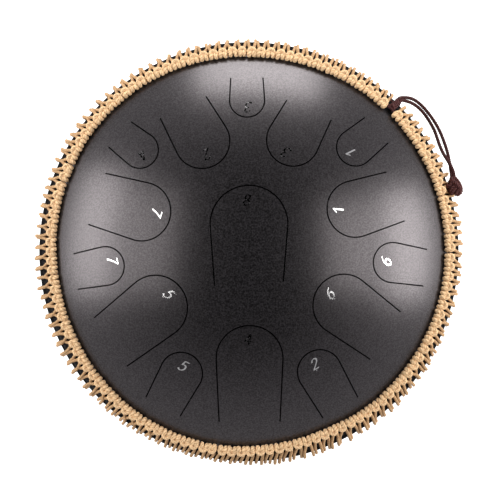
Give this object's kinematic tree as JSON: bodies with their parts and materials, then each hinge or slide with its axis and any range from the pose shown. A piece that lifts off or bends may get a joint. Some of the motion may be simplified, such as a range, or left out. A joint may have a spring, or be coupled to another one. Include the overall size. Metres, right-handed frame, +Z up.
{
  "type": "steel tongue drum",
  "caption": "Steel tongue drum: two domed shells joined at the rim, spring tongues cut in the top, a sound port and rubber feet below, and a knotted rope edge.",
  "frame": {"origin": "on the floor under the middle of the drum", "axes": "+Z up through the crown, +Y from the middle to the shortest tongue, +X to its right as the player looks down"},
  "size_m": [0.3617, 0.3612, 0.166],
  "materials": {
    "charcoal_steel": "satin powder coat",
    "weld": "satin",
    "tan_rope": "twisted paper cord",
    "brown_cord": "braided",
    "black_rubber": "matt",
    "zinc_steel": "zinc plated"
  },
  "bodies": {
    "drum": {"top_shell": "charcoal_steel", "bottom_shell": "charcoal_steel", "rim_weld": "weld", "upper_draw_cord": "brown_cord", "lower_draw_cord": "brown_cord", "tie_knot": "brown_cord", "outer_tail": "brown_cord", "inner_tail": "brown_cord", "end_knot": "brown_cord", "upper_knot_row": "tan_rope", "lower_knot_row": "tan_rope", "rim_lacing": "tan_rope", "front_foot": "black_rubber", "right_foot": "black_rubber", "left_foot": "black_rubber", "foot_screws": "zinc_steel", "foot_washers": "zinc_steel", "foot_nuts": "zinc_steel"},
    "top_tongue": {"top_tongue": "charcoal_steel"},
    "upper_left_wide_tongue": {"upper_left_wide_tongue": "charcoal_steel"},
    "upper_right_wide_tongue": {"upper_right_wide_tongue": "charcoal_steel"},
    "upper_left_narrow_tongue": {"upper_left_narrow_tongue": "charcoal_steel"},
    "upper_right_narrow_tongue": {"upper_right_narrow_tongue": "charcoal_steel"},
    "left_wide_tongue": {"left_wide_tongue": "charcoal_steel"},
    "right_wide_tongue": {"right_wide_tongue": "charcoal_steel"},
    "left_narrow_tongue": {"left_narrow_tongue": "charcoal_steel"},
    "right_narrow_tongue": {"right_narrow_tongue": "charcoal_steel"},
    "lower_left_wide_tongue": {"lower_left_wide_tongue": "charcoal_steel"},
    "lower_right_wide_tongue": {"lower_right_wide_tongue": "charcoal_steel"},
    "lower_left_narrow_tongue": {"lower_left_narrow_tongue": "charcoal_steel"},
    "lower_right_narrow_tongue": {"lower_right_narrow_tongue": "charcoal_steel"},
    "bottom_tongue": {"bottom_tongue": "charcoal_steel"},
    "centre_tongue": {"centre_tongue": "charcoal_steel"}
  },
  "joints": [
    {"name": "top_tongue_flex", "type": "hinge", "parent": "drum", "child": "top_tongue", "pos_m": [0, 0.14495, 0.1184], "axis": [1, 0, 0], "range_deg": [-0.5, 0.5], "stiffness_Nm_per_rad": 10},
    {"name": "upper_left_wide_tongue_flex", "type": "hinge", "parent": "drum", "child": "upper_left_wide_tongue", "pos_m": [-0.05313, 0.12071, 0.12683], "axis": [0.9088, 0.4173, 0], "range_deg": [-0.5, 0.5], "stiffness_Nm_per_rad": 30},
    {"name": "upper_right_wide_tongue_flex", "type": "hinge", "parent": "drum", "child": "upper_right_wide_tongue", "pos_m": [0.05105, 0.11683, 0.12955], "axis": [0.9097, -0.4153, 0], "range_deg": [-0.5, 0.5], "stiffness_Nm_per_rad": 30},
    {"name": "upper_left_narrow_tongue_flex", "type": "hinge", "parent": "drum", "child": "upper_left_narrow_tongue", "pos_m": [-0.10637, 0.09918, 0.11803], "axis": [0.6709, 0.7415, 0], "range_deg": [-0.5, 0.5], "stiffness_Nm_per_rad": 10},
    {"name": "upper_right_narrow_tongue_flex", "type": "hinge", "parent": "drum", "child": "upper_right_narrow_tongue", "pos_m": [0.10758, 0.10015, 0.1169], "axis": [0.6704, -0.742, 0], "range_deg": [-0.5, 0.5], "stiffness_Nm_per_rad": 10},
    {"name": "left_wide_tongue_flex", "type": "hinge", "parent": "drum", "child": "left_wide_tongue", "pos_m": [-0.12564, 0.04552, 0.12566], "axis": [0.3298, 0.9441, 0], "range_deg": [-0.5, 0.5], "stiffness_Nm_per_rad": 30},
    {"name": "right_wide_tongue_flex", "type": "hinge", "parent": "drum", "child": "right_wide_tongue", "pos_m": [0.12205, 0.04445, 0.12803], "axis": [0.331, -0.9436, 0], "range_deg": [-0.5, 0.5], "stiffness_Nm_per_rad": 30},
    {"name": "left_narrow_tongue_flex", "type": "hinge", "parent": "drum", "child": "left_narrow_tongue", "pos_m": [-0.14461, -0.01467, 0.11806], "axis": [-0.1141, 0.9935, 0], "range_deg": [-0.5, 0.5], "stiffness_Nm_per_rad": 10},
    {"name": "right_narrow_tongue_flex", "type": "hinge", "parent": "drum", "child": "right_narrow_tongue", "pos_m": [0.14686, -0.01505, 0.11639], "axis": [-0.115, -0.9934, 0], "range_deg": [-0.5, 0.5], "stiffness_Nm_per_rad": 10},
    {"name": "lower_left_wide_tongue_flex", "type": "hinge", "parent": "drum", "child": "lower_left_wide_tongue", "pos_m": [-0.11602, -0.07357, 0.12312], "axis": [-0.5482, 0.8363, 0], "range_deg": [-0.5, 0.5], "stiffness_Nm_per_rad": 30},
    {"name": "lower_right_wide_tongue_flex", "type": "hinge", "parent": "drum", "child": "lower_right_wide_tongue", "pos_m": [0.11243, -0.07089, 0.12606], "axis": [-0.5465, -0.8375, 0], "range_deg": [-0.5, 0.5], "stiffness_Nm_per_rad": 30},
    {"name": "lower_left_narrow_tongue_flex", "type": "hinge", "parent": "drum", "child": "lower_left_narrow_tongue", "pos_m": [-0.07324, -0.12836, 0.11624], "axis": [-0.8694, 0.4941, 0], "range_deg": [-0.5, 0.5], "stiffness_Nm_per_rad": 10},
    {"name": "lower_right_narrow_tongue_flex", "type": "hinge", "parent": "drum", "child": "lower_right_narrow_tongue", "pos_m": [0.07476, -0.13107, 0.11389], "axis": [-0.8695, -0.4939, 0], "range_deg": [-0.5, 0.5], "stiffness_Nm_per_rad": 10},
    {"name": "bottom_tongue_flex", "type": "hinge", "parent": "drum", "child": "bottom_tongue", "pos_m": [-0.00119, -0.14144, 0.1203], "axis": [-1, 0.0092, 0], "range_deg": [-0.5, 0.5], "stiffness_Nm_per_rad": 30},
    {"name": "centre_tongue_flex", "type": "hinge", "parent": "drum", "child": "centre_tongue", "pos_m": [-0.00024, -0.02605, 0.16293], "axis": [-0.9992, -0.0401, 0], "range_deg": [-0.5, 0.5], "stiffness_Nm_per_rad": 30}
  ]
}
